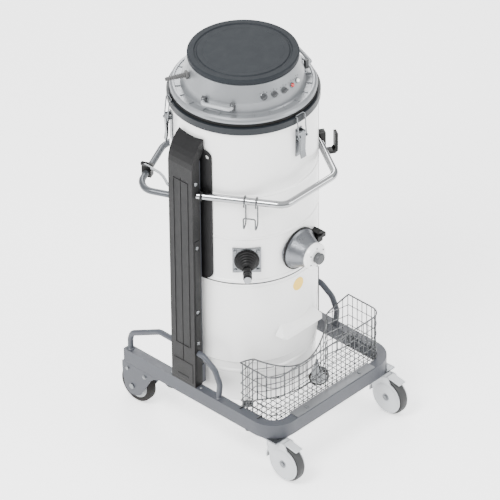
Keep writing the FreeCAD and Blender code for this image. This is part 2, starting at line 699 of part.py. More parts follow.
def panel_cyl(az, radius, low, high):
    point, normal = panel_axis(az)
    return cyl(radius, high - low, point + normal * low, normal)


def switch_knob(az):
    """Rotary switch knob: skirt, pointer bar and the spindle that goes through the shell."""
    point, normal = panel_axis(az)
    skirt = panel_cyl(az, 9, 1.6, 5)
    bar = Part.makeBox(16, 5, 8, V(-8, -2.5, 4))
    bar.Placement = FreeCAD.Placement(point, FreeCAD.Rotation(V(0, 0, 1), normal)).multiply(bar.Placement)
    return union([skirt, bar, panel_cyl(az, 3.04, -9, 2)])


def pilot_lamps():
    lamps = []
    for az, r in zip(LAMP_AZ, (6.0, 7.5)):
        point, normal = panel_axis(az)
        lamps.append(revolve([(0, 0.9), (r + 2, 0.9), (r + 2, 2.6), (r, 2.6), (r - 1, 6), (r - 3.5, 8),
                              (0, 8.6)], point, normal))
    return lamps


def cable_gland():
    """Ribbed lead-in for the mains cable."""
    section = [(4.2, 150), (6, 150), (6, 177.5), (11, 177.5), (11, 181), (8.5, 183)]
    for rib in range(9):
        z = 185 + rib * 6.6
        r = 8.4 - 0.22 * rib
        section += [(r - 1.8, z), (r, z + 1.2), (r, z + 3.4), (r - 1.8, z + 4.6)]
    section += [(5.6, 246), (4.2, 246)]
    return turned(revolve(section, V(0, 0, GLAND_Z), ALONG_X), GLAND_AZ)


def head_grip(az):
    """Bar handle on the cone, held by a block at each end."""
    blocks = [box((172, 209), (y, y + 15), (1164, 1198)) for y in (-54, 39)]
    bar = box((197, 209), (-54, 54), (1168, 1194))
    grip = union(blocks + [bar])
    long_edges = [e for e in grip.Edges if e.Length > 60 and e.BoundBox.XMin > 200]
    grip = grip.makeFillet(5, long_edges)
    room = revolve([(0, 1140), (189, 1140), (188, 1153.6), (186.4, 1158), (181.4, 1188), (166.4, HEAD_TOP),
                    (0, HEAD_TOP)])
    return turned(grip.cut(room), az)


def motor_plate():
    plate = cyl(203.5, 4, V(0, 0, HEAD_Z + 0.5))
    for k in range(3):
        a = math.radians(120 * k + 90)
        plate = plate.cut(cyl(40, 10, V(MOTOR_RING * math.cos(a), MOTOR_RING * math.sin(a), HEAD_Z - 2)))
    return plate


def vacuum_motors():
    motors = [motor_plate()]
    low = HEAD_Z + 4.7
    for k in range(3):
        a = math.radians(120 * k + 90)
        centre = V(MOTOR_RING * math.cos(a), MOTOR_RING * math.sin(a), 0)
        motors.append(revolve([(30, low), (MOTOR_R, low), (MOTOR_R, low + 26), (44, low + 30),
                               (44, low + 74), (30, low + 84),
                               (0, low + 84), (0, low + 8), (30, low + 8)], centre))
    return motors


# --- latches ------------------------------------------------------------
def latch_base():
    """Plate on the drum with two ears for the lever's pin, built on +X."""
    r, z = LATCH_PIVOT
    plate = box((218, 225.5), (-13, 13), (z - 84, z + 12)).cut(cyl(DRUM_R + 0.3, 300, V(0, 0, 900)))
    ears = [box((224, r + 5), (y, y + 2), (z - 7, z + 6)) for y in (-13, 11)]
    pin = cyl(2, 26, V(r, -13, z), V(0, 1, 0))
    return union([plate, pin] + ears)


def latch_lever():
    r, z = LATCH_PIVOT
    q, qz = BAIL_PIN
    knuckle = cyl(4.5, 21, V(r, -10.5, z), V(0, 1, 0))
    arm = prism([(r - 3, z - 4), (r + 3, z + 4), (r + 9, z - 8), (q + 3, qz - 10), (q + 1, z - 60),
                 (q + 5, z - 84),
                 (q + 1, z - 85), (q - 4, z - 58), (q - 5, qz - 6)], V(0, 21, 0), lambda a,
                 b: V(a, -10.5, b))
    pin = cyl(2, 42, V(q, -21, qz), V(0, 1, 0))
    hole = cyl(2 + SHAFT_GAP, 40, V(r, -20, z), V(0, 1, 0))
    return union([knuckle, arm]).cut(hole).fuse(pin)


def latch_bail():
    """One bent wire over the ring, with an eye at each foot."""
    q, qz = BAIL_PIN
    half, wire = 16.5, 2.0
    seat = RING_Z[1] + wire + 0.4
    side = [(q, half, qz + 3), (233.2, half, seat), (225, half, seat)]
    path = side + [(x, -y, z) for x, y, z in reversed(side)]
    bail = tube(path, wire, 4)
    eyes = [cyl(4.6, 5, V(q, y, qz), V(0, 1, 0)) for y in (half - 2.5, -half - 2.5)]
    hole = cyl(2 + SHAFT_GAP, 60, V(q, -30, qz), V(0, 1, 0))
    return union([bail] + eyes).cut(hole)


# --- assembly -----------------------------------------------------------
def main():
    os.makedirs("parts", exist_ok=True)
    save("frame_tube", frame_tube())
    save("rear_brackets", both(rear_bracket()))
    save("rear_axles", both(rear_axle()))
    save("castor_plates", both(castor_plate()))
    save("basket_shelf", basket_shelf())
    save("basket", basket())
    save("column_covers", both(column_cover()))
    save("column_posts", both(column_post()))
    save("saddle_plates", both(saddle_plate()))
    save("button_screws", button_screws() + shaker_screws())
    save("side_arches", side_arches())
    save("front_rail", rail())
    save("push_handle", push_handle())
    save("lever_bracket", lever_bracket())
    save("release_lever", release_lever())
    save("accessory_hook", accessory_hook())
    save("cable_holder", cable_holder())
    save("filter_chamber", filter_chamber())
    save("chamber_seal", chamber_seal())
    save("top_ring", top_ring())
    save("filter_star", filter_star())
    save("inlet_cone", inlet_cone())
    save("inlet_cap", inlet_cap())
    save("inlet_clamp", inlet_clamp())
    save("shaker_plate", shaker_plate())
    save("shaker_bellows", shaker_bellows())
    save("shaker_knob", shaker_knob())
    save("head_shell", head_shell())
    save("head_lid", head_lid())
    save("head_grips", [head_grip(az) for az in GRIP_AZ])
    save("pilot_lamps", pilot_lamps())
    save("cable_gland", cable_gland())
    save("vacuum_motors", vacuum_motors())
    for k, az in enumerate(SWITCH_AZ, 1):
        save(f"switch_{k}", switch_knob(az))
    save("latch_bases", [turned(latch_base(), az) for az in LATCH_AZ])
    for k, az in enumerate(LATCH_AZ, 1):
        save(f"latch_lever_{k}", turned(latch_lever(), az))
        save(f"latch_bail_{k}", turned(latch_bail(), az))
    rear = wheel(WHEEL_R, WHEEL_W, V(-REAR_WHEEL[0], REAR_WHEEL[1], WHEEL_R), 40)
    front = wheel(WHEEL_R, 28, V(-CASTOR_PIN[0], -CASTOR_PIN[1] - CASTOR_TRAIL, WHEEL_R), 30)
    fork, brake = castor_fork(), castor_brake()
    for side, place in (("left", lambda s: s), ("right", mirrored)):
        save(f"rear_wheel_{side}", place(rear))
        save(f"castor_fork_{side}", place(fork))
        save(f"castor_wheel_{side}", place(front))
        save(f"castor_brake_{side}", place(brake))
    save("container", container())
    for k, az in enumerate((-135, -45, 45, 135), 1):
        save(f"container_fork_{k}", turned(small_fork(), az))
        save(f"container_wheel_{k}", turned(small_wheel(), az))


main()
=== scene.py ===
import json
import math

import bmesh
import bpy
from mathutils import Matrix, Quaternion, Vector


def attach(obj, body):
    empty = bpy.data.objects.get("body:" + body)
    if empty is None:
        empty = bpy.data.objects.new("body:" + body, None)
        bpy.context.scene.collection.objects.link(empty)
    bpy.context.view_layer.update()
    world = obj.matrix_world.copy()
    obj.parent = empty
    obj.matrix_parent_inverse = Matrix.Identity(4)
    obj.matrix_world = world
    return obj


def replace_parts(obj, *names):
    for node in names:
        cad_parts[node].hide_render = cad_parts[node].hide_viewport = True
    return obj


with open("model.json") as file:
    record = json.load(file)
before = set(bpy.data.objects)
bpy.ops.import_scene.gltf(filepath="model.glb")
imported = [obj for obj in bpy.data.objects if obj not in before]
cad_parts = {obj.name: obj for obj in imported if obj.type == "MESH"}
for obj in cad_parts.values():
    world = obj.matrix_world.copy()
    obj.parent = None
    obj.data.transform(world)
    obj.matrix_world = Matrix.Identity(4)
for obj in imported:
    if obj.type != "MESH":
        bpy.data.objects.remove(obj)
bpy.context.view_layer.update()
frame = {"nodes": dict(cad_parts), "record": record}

# --- sizes, in millimetres from the drum's axis ---------------------------
MM = 0.001
DRUM_Y = 76.75
WHEEL_R = 62.5
REAR_WHEEL_X = 246.0
REAR_WHEEL_Y = 222.0
REAR_WHEEL_W = 30.0
CASTOR_X = 230.0
CASTOR_WHEEL_Y = -387.0
CASTOR_WHEEL_W = 28.0
SMALL_R = 32.5
SMALL_W = 22.0
SMALL_WHEEL_RADIUS = 222.0
SMALL_WHEEL_Z = 57.5
SMALL_AZIMUTHS = (-135, -45, 45, 135)
CONTAINER_R = 220.0
DRUM_R = 222.0
COLUMN_X = 275.0
COLUMN_HALF = 49.0
BASKET_X = 239.5
BASKET_FRONT = 342.5
BASKET_REAR = 205.0
BASKET_CORNER = 40.0
BASKET_ARC = 246.5
BASKET_FLOOR = 152.0
BASKET_TOP = 344.5
BASKET_DIP = 240.0
INLET_Z = 651.0
SHAKER_Z = 657.0
SHAKER_AZ = -135.0
GRIP_AZ = (-160.0, -20.0)
LEVER_PIVOT = (-238.0, 62.0, 851.0)
LEVER_END_X = -216.0
LEVER_BAR_Z = 862.5
PANEL_AZ = (-116.5, -105.5, -94.0, -82.5, -73.0)
FIRST_LAMP_AZ = -90.0
PANEL_TILT = 15.8
PANEL_R = 177.0
PANEL_Z = 1202.0
GRIP_Z = 1181.0
GRIP_HALF = 46.0
RAIL_END = (247.3, 884.0)
RAIL_RUN = (144.4, -234.5)
HOOP_FEET_Y = (-132.0, 240.0)
HOOP_X = 260.0
HOOP_FOOT_Z = 189.4
PLATE_BOLT_X = 262.0
PLATE_BOLT_Z = 189.2
BRACKET_BOLTS_Y = (168.0, 240.0)
BRACKET_BOLT_Z = 122.0
COVER_PANEL_Z = (330.0, 930.0)
FORK_FACE = 19.3
BASKET_RINGS_Z = (182.0, 204.0, 232.0, 268.0, 306.0)
BASKET_NOTCH = 158.0
BASKET_END_DROP = 40.0
MARKER_R = 22.0
MARKER_Z = 518.0
CAP_FACE = 296.5
CAP_SCREW_RING = 31.0

# --- picture ---------------------------------------------------------------
CAMERA_LENS = 400.0
CAMERA_SENSOR = 36.0
CAMERA_WIDTH = 1.475
CAMERA_HEADING = (-0.722, -0.692)
CAMERA_ELEVATION = math.radians(35.2)
CAMERA_ROLL = math.radians(-0.57)
CAMERA_SHIFT = (0.0204, -0.5912)
TOP_Z = 1259.5
FLOOR_GLOW = 1.3
SKY_STRENGTH = 1.7
LAMPS = (("key", (-2.4, -0.2, 3.6), 1.8, 230.0), ("fill", (1.4, -3.0, 2.2), 2.2, 85.0),
         ("rim", (2.4, 2.6, 3.2), 1.8, 80.0), ("side", (-3.4, 1.4, 1.6), 1.4, 26.0))
LAMP_TARGET = Vector((0, 0, 0.6))

UP = Vector((0, 0, 1))
RIGHT = Vector((1, 0, 0))
FORWARD = Vector((0, -1, 0))
BACKWARD = Vector((0, 1, 0))
SIDES = (("left", -1), ("right", 1))


def at(x, y, z):
    """A point in metres, in the row's frame, from millimetres about the drum's axis."""
    return Vector((x * MM, (y + DRUM_Y) * MM, z * MM))


def around(radius, azimuth, z):
    a = math.radians(azimuth)
    return at(radius * math.cos(a), radius * math.sin(a), z)


def outward(azimuth):
    a = math.radians(azimuth)
    return Vector((math.cos(a), math.sin(a), 0))


# --- materials -----------------------------------------------------------
def linear(value):
    return value / 12.92 if value <= 0.04045 else ((value + 0.055) / 1.055) ** 2.4


def colour(rgb, gain=1.0):
    return [min(1.0, linear(c) * gain) for c in rgb] + [1.0]


# Lower surfaces can be darkened in patches towards a brownish colour. The darkening starts at this height in
# metres and grows stronger down to the floor.
DARKEN_TOP = 0.45
DARKEN_COLOUR = (0.23, 0.20, 0.17, 1.0)


def material(name, rgb, rough, metallic=0.0, coat=0.0, vary=0.06, bump=0.05, grain=900.0, brushed=None,
             low_darkening=0.0, spec=0.5):
    """Procedural finish: cloudy colour, uneven roughness, fine grain, optional brushing and optional patchy
    brownish darkening towards the floor.
    """
    mat = bpy.data.materials.new(name)
    mat.use_nodes = True
    tree = mat.node_tree
    bsdf = tree.nodes["Principled BSDF"]
    link = tree.links.new

    def add(kind, **inputs):
        node = tree.nodes.new(kind)
        for key, value in inputs.items():
            node.inputs[key.replace("_", " ")].default_value = value
        return node

    place = tree.nodes.new("ShaderNodeTexCoord").outputs["Object"]
    if brushed:
        stretch = add("ShaderNodeMapping")
        stretch.inputs["Scale"].default_value = brushed
        link(place, stretch.inputs["Vector"])
        fine_place = stretch.outputs["Vector"]
    else:
        fine_place = place
    cloud = add("ShaderNodeTexNoise", Scale=9.0, Detail=5.0, Roughness=0.6)
    smear = add("ShaderNodeTexNoise", Scale=34.0, Detail=6.0, Roughness=0.65, Distortion=0.6)
    fine = add("ShaderNodeTexNoise", Scale=grain, Detail=3.0, Roughness=0.55)
    link(place, cloud.inputs["Vector"])
    link(place, smear.inputs["Vector"])
    link(fine_place, fine.inputs["Vector"])

    shade = tree.nodes.new("ShaderNodeMix")
    shade.data_type = "RGBA"
    shade.inputs["A"].default_value = colour(rgb, 1 - vary)
    shade.inputs["B"].default_value = colour(rgb, 1 + vary)
    link(cloud.outputs["Fac"], shade.inputs["Factor"])
    result = shade.outputs["Result"]
    # Optional patchy darkening towards a brownish colour: none at the top height, full strength at the
    # floor.
    if low_darkening:
        split = tree.nodes.new("ShaderNodeSeparateXYZ")
        link(place, split.inputs["Vector"])
        height = add("ShaderNodeMapRange")
        height.inputs["From Min"].default_value = DARKEN_TOP
        height.inputs["From Max"].default_value = 0.0
        height.inputs["To Min"].default_value = 0.0
        height.inputs["To Max"].default_value = low_darkening
        link(split.outputs["Z"], height.inputs["Value"])
        patch = tree.nodes.new("ShaderNodeMath")
        patch.operation = "MULTIPLY"
        link(height.outputs["Result"], patch.inputs[0])
        link(smear.outputs["Fac"], patch.inputs[1])
        darkened = tree.nodes.new("ShaderNodeMix")
        darkened.data_type = "RGBA"
        darkened.inputs["B"].default_value = DARKEN_COLOUR
        link(patch.outputs["Value"], darkened.inputs["Factor"])
        link(result, darkened.inputs["A"])
        result = darkened.outputs["Result"]
    link(result, bsdf.inputs["Base Color"])

    uneven = add("ShaderNodeMapRange")
    uneven.inputs["From Min"].default_value = 0.3
    uneven.inputs["From Max"].default_value = 0.7
    uneven.inputs["To Min"].default_value = max(0.02, rough * (1 - 3 * vary))
    uneven.inputs["To Max"].default_value = min(1.0, rough * (1 + 3 * vary))
    link(smear.outputs["Fac"], uneven.inputs["Value"])
    link(uneven.outputs["Result"], bsdf.inputs["Roughness"])

    relief = add("ShaderNodeBump", Strength=bump, Distance=0.0006)
    link(fine.outputs["Fac"], relief.inputs["Height"])
    link(relief.outputs["Normal"], bsdf.inputs["Normal"])
    bsdf.inputs["Metallic"].default_value = metallic
    bsdf.inputs["Coat Weight"].default_value = coat
    bsdf.inputs["Coat Roughness"].default_value = 0.12
    bsdf.inputs["Specular IOR Level"].default_value = spec
    return mat


# Where a darkening strength is given, it sets how much the lower surfaces are tinted brownish towards the
# floor.
FINISHES = {
    "frame_paint": material("frame_paint", (0.235, 0.248, 0.275), 0.42, coat=0.05, bump=0.22, grain=1400,
                            low_darkening=0.12, spec=0.3),
    "drum_paint": material("drum_paint", (0.93, 0.93, 0.925), 0.25, coat=0.5, vary=0.02, bump=0.10,
                           grain=420, low_darkening=0.16),
    "head_paint": material("head_paint", (0.50, 0.51, 0.52), 0.34, metallic=0.5, coat=0.1, vary=0.04,
                           bump=0.12, grain=1500),
    "light_panel": material("light_panel", (0.58, 0.59, 0.60), 0.38, coat=0.1, vary=0.05, bump=0.12,
                            grain=1200, low_darkening=0.05),
    "cast_alu": material("cast_alu", (0.44, 0.45, 0.465), 0.30, metallic=0.9, vary=0.08, bump=0.35,
                         grain=1100),
    "motor_metal": material("motor_metal", (0.55, 0.56, 0.58), 0.5, metallic=0.8, vary=0.1, bump=0.3,
                            grain=800),
    "zinc": material("zinc", (0.46, 0.47, 0.48), 0.28, metallic=0.95, vary=0.10, bump=0.12, grain=500,
                     brushed=(1, 1, 0.06)),
    "wire": material("wire", (0.36, 0.365, 0.37), 0.28, metallic=1.0, vary=0.10, bump=0.06, grain=900),
    "chrome_tube": material("chrome_tube", (0.60, 0.605, 0.61), 0.09, metallic=1.0, vary=0.04, bump=0.03,
                            grain=300),
    "grey_tube": material("grey_tube", (0.30, 0.31, 0.325), 0.34, metallic=0.55, vary=0.06, bump=0.10,
                          grain=1000),
    "lid_plastic": material("lid_plastic", (0.125, 0.138, 0.152), 0.60, vary=0.02, bump=0.10, grain=1700,
                            spec=0.12),
    "dark_ring": material("dark_ring", (0.10, 0.115, 0.13), 0.40, vary=0.05, bump=0.15, grain=900,
                          spec=0.25),
    "column_plastic": material("column_plastic", (0.075, 0.075, 0.078), 0.40, vary=0.07, bump=0.35,
                               grain=1500, low_darkening=0.05, spec=0.18),
    "black_plastic": material("black_plastic", (0.035, 0.035, 0.037), 0.42, vary=0.10, bump=0.25,
                              grain=1300, spec=0.2),
    "grey_plastic": material("grey_plastic", (0.26, 0.265, 0.27), 0.42, vary=0.07, bump=0.2, grain=1300,
                             spec=0.3),
    "castor_plastic": material("castor_plastic", (0.72, 0.73, 0.74), 0.38, vary=0.03, bump=0.2, grain=1300,
                               low_darkening=0.08),
    "gland_plastic": material("gland_plastic", (0.30, 0.30, 0.30), 0.45, vary=0.06, bump=0.2, grain=1300,
                              spec=0.3),
    "red_lens": material("red_lens", (0.62, 0.03, 0.02), 0.16, coat=0.6, vary=0.08, bump=0.03, grain=600),
    "tyre_rubber": material("tyre_rubber", (0.06, 0.06, 0.063), 0.72, vary=0.10, bump=0.5, grain=900,
                            low_darkening=0.10, spec=0.2),
    "black_rubber": material("black_rubber", (0.04, 0.04, 0.043), 0.55, vary=0.10, bump=0.35, grain=1200,
                             spec=0.25),
    "filter_cloth": material("filter_cloth", (0.86, 0.86, 0.84), 0.9, vary=0.06, bump=0.6, grain=1500),
}
GREY_TYRE = material("grey_tyre", (0.20, 0.205, 0.21), 0.62, vary=0.10, bump=0.4, grain=900, low_darkening=0.1,
                     spec=0.25)
YELLOW = material("yellow_disc", (0.93, 0.76, 0.20), 0.40, coat=0.3, vary=0.05, bump=0.08, grain=900)
FLOOR_FINISH = material("floor", (0.97, 0.97, 0.97), 0.7, vary=0.004, bump=0.02, grain=60)
SHELF_GREY = material("shelf_grey", (0.40, 0.41, 0.425), 0.38, metallic=0.3, vary=0.06, bump=0.12,
                      grain=1200, low_darkening=0.2)
CLEAR_LENS = material("clear_lens", (0.86, 0.87, 0.86), 0.12, coat=0.6, vary=0.03, bump=0.02, grain=600)
NODE_FINISH = {"basket_shelf": SHELF_GREY}


def dress_frame():
    """The CAD pieces take their slot's finish."""
    slots = {part["node"]: part["material_slot"] for part in frame["record"]["subparts"]}
    for name, obj in frame["nodes"].items():
        obj.data.materials.clear()
        finish = NODE_FINISH.get(name, slots[name])
        obj.data.materials.append(FINISHES[finish] if isinstance(finish, str) else finish)


# --- mesh helpers --------------------------------------------------------
def piece(name, verts, faces, finish, body, smooth=None):
    """A mesh that rides on a body. finish is a material slot's name or a material."""
    mesh = bpy.data.meshes.new(name)
    mesh.from_pydata([tuple(v) for v in verts], [], faces)
    mesh.update()
    bm = bmesh.new()
    bm.from_mesh(mesh)
    bmesh.ops.recalc_face_normals(bm, faces=bm.faces)
    bm.to_mesh(mesh)
    bm.free()
    obj = bpy.data.objects.new(name, mesh)
    bpy.context.scene.collection.objects.link(obj)
    mesh.materials.append(FINISHES[finish] if isinstance(finish, str) else finish)
    if smooth is not None:
        mesh.polygons.foreach_set("use_smooth", [True] * len(mesh.polygons))
        mesh.set_sharp_from_angle(angle=math.radians(smooth))
    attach(obj, body)
    return obj


def basis(axis):
    """Two directions square to the axis."""
    axis = axis.normalized()
    side = axis.cross(UP)
    if side.length < 0.1:
        side = axis.cross(BACKWARD)
    side.normalize()
    return side, axis.cross(side)


def lathe_data(profile, base, axis, steps=72):
    """Closed profile of (radius, height) pairs in millimetres, turned about an axis."""
    u, v = basis(axis)
    axis = axis.normalized()
    verts, faces, count = [], [], len(profile)
    for step in range(steps):
        a = 2 * math.pi * step / steps
        direction = u * math.cos(a) + v * math.sin(a)
        verts += [base + direction * (r * MM) + axis * (h * MM) for r, h in profile]
    for step in range(steps):
        here, there = step * count, ((step + 1) % steps) * count
        for k in range(count):
            nxt = (k + 1) % count
            faces.append((here + k, here + nxt, there + nxt, there + k))
    return verts, faces


def lathe(name, profile, base, axis, finish, body, steps=72):
    verts, faces = lathe_data(profile, base, axis, steps)
    return piece(name, verts, faces, finish, body, smooth=32)


def wire_data(points, radius, sides=8, closed=False):
    """Round wire through points, in metres."""
    verts, faces, count = [], [], len(points)
    normal = None
    for k, p in enumerate(points):
        before = points[k - 1] if k or closed else p
        after = points[(k + 1) % count] if k < count - 1 or closed else p
        along = (after - before).normalized()
        if normal is None:
            normal = basis(along)[0]
        normal = (normal - along * normal.dot(along)).normalized()
        other = along.cross(normal)
        for s in range(sides):
            a = 2 * math.pi * s / sides
            verts.append(p + (normal * math.cos(a) + other * math.sin(a)) * radius)
    for k in range(count if closed else count - 1):
        here, there = k * sides, ((k + 1) % count) * sides
        for s in range(sides):
            t = (s + 1) % sides
            faces.append((here + s, here + t, there + t, there + s))
    if not closed:
        faces.append(tuple(range(sides - 1, -1, -1)))
        faces.append(tuple(range((count - 1) * sides, count * sides)))
    return verts, faces


def box_data(centre, size, turn=None):
    """Box of a size in millimetres about a centre, turned by a matrix."""
    half = Vector(size) * (MM / 2)
    signs = (-1, 1)
    corners = [Vector((sx * half.x, sy * half.y, sz * half.z))
               for sx in signs for sy in signs for sz in signs]
    verts = [centre + (turn @ c if turn else c) for c in corners]
    faces = [(0, 1, 3, 2), (4, 6, 7, 5), (0, 4, 5, 1), (2, 3, 7, 6), (0, 2, 6, 4), (1, 5, 7, 3)]
    return verts, faces


def gather(parts):
    """Several (verts, faces) joined in one."""
    verts, faces = [], []
    for more_verts, more_faces in parts:
        shift = len(verts)
        verts += more_verts
        faces += [tuple(i + shift for i in face) for face in more_faces]
    return verts, faces


def bevel(obj, width, segments=2):
    mod = obj.modifiers.new("edges", "BEVEL")
    mod.width = width * MM
    mod.segments = segments
    mod.limit_method = "ANGLE"
    mod.angle_limit = math.radians(40)
    return obj


def screw_data(base, axis, radius, height):
    """Round screw head with a hex socket, seen from outside."""
    profile = [(0.01, 0), (radius, 0), (radius * 0.97, height * 0.55), (radius * 0.72, height * 0.95),
               (radius * 0.42, height), (radius * 0.40, height * 0.45), (0.01, height * 0.45)]
    return lathe_data(profile, base, axis, 18)


# --- wheels --------------------------------------------------------------
def wheel_set(name, node, body, centre, axle, radius, width, tyre, bead=10.0):
    """Tyre, rim with ribbed web, and a bearing cap on each side."""
    h = width / 2
    rim = radius - bead - 3
    tread = [(rim, -h + 1.5), (rim + 4, -h + 0.4), (radius - 4, -h + 0.6), (radius - 1.4, -h + 3),
             (radius - 0.3, -h + 7), (radius, -2), (radius, 2), (radius - 0.3, h - 7), (radius - 1.4, h - 3),
             (radius - 4, h - 0.6), (rim + 4, h - 0.4), (rim, h - 1.5)]
    ring = lathe(name + "_tyre", tread, centre, axle, tyre, body, 96)
    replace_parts(ring, node)
    hub = radius * 0.235
    web = [(radius * 0.11, -h - 1), (hub, -h - 1), (hub + 1.5, -h + 1), (hub + 2, -h + 6),
           (rim * 0.82, -h + 6.5), (rim - 3, -h + 2.2), (rim, -h + 1.2), (rim + 0.3, -h + 2),
           (rim + 0.3, h - 2), (rim, h - 1.2), (rim - 3, h - 2.2), (rim * 0.82, h - 6.5), (hub + 2, h - 6),
           (hub + 1.5, h - 1), (hub, h + 1), (radius * 0.11, h + 1)]
    lathe(name + "_rim", web, centre, axle, "castor_plastic", body, 96)
    u, v = basis(axle)
    ribs = []
    for side in (-1, 1):
        for k in range(12):
            a = math.radians(30 * k)
            direction = u * math.cos(a) + v * math.sin(a)
            turn = Matrix((direction, axle, direction.cross(axle))).transposed()
            middle = centre + direction * ((hub + rim * 0.86) / 2 * MM) + axle * (side * (h - 6) * MM)
            ribs.append(box_data(middle, (rim * 0.86 - hub, 3.4, 1.8), turn))
    bevel(piece(name + "_ribs", *gather(ribs), "castor_plastic", body), 0.5)


def wheels():
    for side, sign in SIDES:
        wheel_set(f"rear_{side}", f"rear_wheel_{side}", f"rear_wheel_{side}",
                  at(sign * REAR_WHEEL_X, REAR_WHEEL_Y, WHEEL_R), RIGHT, WHEEL_R, REAR_WHEEL_W,
                  "tyre_rubber", 13)
        wheel_set(f"front_{side}", f"castor_wheel_{side}", f"castor_wheel_{side}",
                  at(sign * CASTOR_X, CASTOR_WHEEL_Y, WHEEL_R), RIGHT, WHEEL_R, CASTOR_WHEEL_W,
                  GREY_TYRE, 11)
    for k, azimuth in enumerate(SMALL_AZIMUTHS, 1):
        wheel_set(f"bin_{k}", f"container_wheel_{k}", f"container_wheel_{k}",
                  around(SMALL_WHEEL_RADIUS, azimuth, SMALL_WHEEL_Z), UP.cross(outward(azimuth)),
                  SMALL_R, SMALL_W, "tyre_rubber", 5)


def castor_trim():
    """Axle bolts and round covers on the front castors' forks, and tread bars on their brake pedals."""
    for side, sign in SIDES:
        body = f"castor_fork_{side}"
        x, y = sign * CASTOR_X, CASTOR_WHEEL_Y
        bolts, covers = [], []
        for face in (-1, 1):
            bolts.append(lathe_data([(0.01, 0), (12, 0), (12, 1.2), (7, 1.6), (6.6, 4), (0.01, 4.2)],
                                    at(x + face * FORK_FACE, y, WHEEL_R), RIGHT * face, 30))
            covers.append(lathe_data([(14, 0), (47, 0), (47.5, 0.8), (46, 1.6), (17, 1.2), (14, 1.0)],
                                     at(x + face * (FORK_FACE + 0.1), y, WHEEL_R), RIGHT * face, 72))
        piece(f"castor_bolts_{side}", *gather(bolts), "zinc", body, smooth=30)
        piece(f"castor_covers_{side}", *gather(covers), "castor_plastic", body, smooth=30)
        bars = [box_data(at(x, -435 + 6.5 * k, 127.6 + 0.83 * k), (24, 2.2, 2.6)) for k in range(5)]
        bevel(piece(f"castor_tread_{side}", *gather(bars), "castor_plastic", f"castor_brake_{side}"), 0.5)


# --- basket --------------------------------------------------------------
def basket_outline():
    """Plan of the basket, as evenly spaced points, starting in the middle of the front."""
    corner, x, front = BASKET_CORNER, BASKET_X, -BASKET_FRONT
    half = [(0, front), (x - corner, front)]
    for step in range(1, 8):
        a = math.radians(-90 + 90 * step / 8)
        half.append((x - corner + corner * math.cos(a), front + corner + corner * math.sin(a)))
    half += [(x, front + corner), (x, -BASKET_REAR)]
    for step in range(25):
        a = math.radians(-50 - 40 * step / 24)
        half.append((BASKET_ARC * math.cos(a), BASKET_ARC * math.sin(a)))
    whole = half + [(-a, b) for a, b in reversed(half[1:-1])]
    corners = [Vector((a, b, 0)) for a, b in whole]
    points, pitch = [], 5.0
    for start, end in zip(corners, corners[1:] + corners[:1]):
        count = max(1, round((end - start).length / pitch))
        points += [start.lerp(end, k / count) for k in range(count)]
    return points


def basket_rim(point):
    """Height of the basket's edge: high ends, a lower front and a back wall that dips in the middle."""
    side = abs(point.x)
    behind = point.y > -BASKET_ARC - 2 and side < BASKET_NOTCH + 4
    if behind:
        t = max(0.0, min(1.0, side / BASKET_NOTCH))
        return BASKET_DIP + (BASKET_TOP - BASKET_END_DROP - BASKET_DIP) * t ** 1.8
    if point.y > -BASKET_REAR - 3:
        t = max(0.0, min(1.0, (side - BASKET_NOTCH) / 80))
        return BASKET_TOP - BASKET_END_DROP + BASKET_END_DROP * t ** 0.8
    return BASKET_TOP


def basket():
    """Welded wire basket: a thick rim, level rings, uprights, a floor grid and the hooks that hang it."""
    points = basket_outline()
    count = len(points)

    def lifted(p, z):
        return at(p.x, p.y, z)

    thin, thick = 1.35 * MM, 2.4 * MM
    strands = [wire_data([lifted(p, basket_rim(p)) for p in points], thick, 10, True)]
    for z in (BASKET_FLOOR, *BASKET_RINGS_Z):
        runs, run = [], []
        for k in range(count + 1):
            p = points[k % count]
            if basket_rim(p) > z + 3:
                run.append(lifted(p, z))
            elif run:
                runs.append(run)
                run = []
        if run:
            runs.append(run)
        for run in runs:
            closed = len(run) == count + 1
            if len(run) > 2:
                strands.append(wire_data(run[:-1] if closed else run,
                                         thin * (1.5 if z == BASKET_FLOOR else 1), 6, closed))
    for k in range(0, count, 4):
        p = points[k]
        inner = Vector((p.x, p.y, 0)) * (1 - 2.2 / p.length)
        strands.append(wire_data([at(inner.x, inner.y, BASKET_FLOOR), at(inner.x, inner.y, basket_rim(p))],
                                 thin, 6))

    def rear_limit(x):
        if abs(x) < BASKET_NOTCH:
            return -math.sqrt(BASKET_ARC ** 2 - x * x)
        return -BASKET_REAR + (BASKET_NOTCH - abs(x)) * -0.21

    for k in range(-11, 12):
        x = 20.6 * k
        y0 = -BASKET_FRONT + (BASKET_CORNER * 0.35 if abs(x) > BASKET_X - BASKET_CORNER + 10 else 1)
        strands.append(wire_data([at(x, y0, BASKET_FLOOR - 1),
                                  at(x, min(rear_limit(x), -BASKET_REAR + 8), BASKET_FLOOR - 1)], thin, 6))
    for y in (-325, -304, -283, -270, -250, -230, -212):
        reach = BASKET_X - (4 if y > -320 else 18)
        if y < -BASKET_ARC:
            strands.append(wire_data([at(-reach, y, BASKET_FLOOR + 1), at(reach, y, BASKET_FLOOR + 1)],
                                     thin, 6))
        else:
            inner = math.sqrt(BASKET_ARC ** 2 - y * y)
            for sign in (-1, 1):
                strands.append(wire_data([at(sign * inner, y, BASKET_FLOOR + 1),
                                          at(sign * reach, y, BASKET_FLOOR + 1)], thin, 6))
    for sign in (-1, 1):
        for y in (-292, -220):
            hook = [(BASKET_X, 182), (BASKET_X, 189), (BASKET_X + 3, 192), (BASKET_X + 20, 192)]
            strands.append(wire_data([at(sign * a, y, b) for a, b in hook], 2.2 * MM, 8))
    obj = piece("basket_wires", *gather(strands), "wire", "chassis", smooth=50)
    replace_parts(obj, "basket")


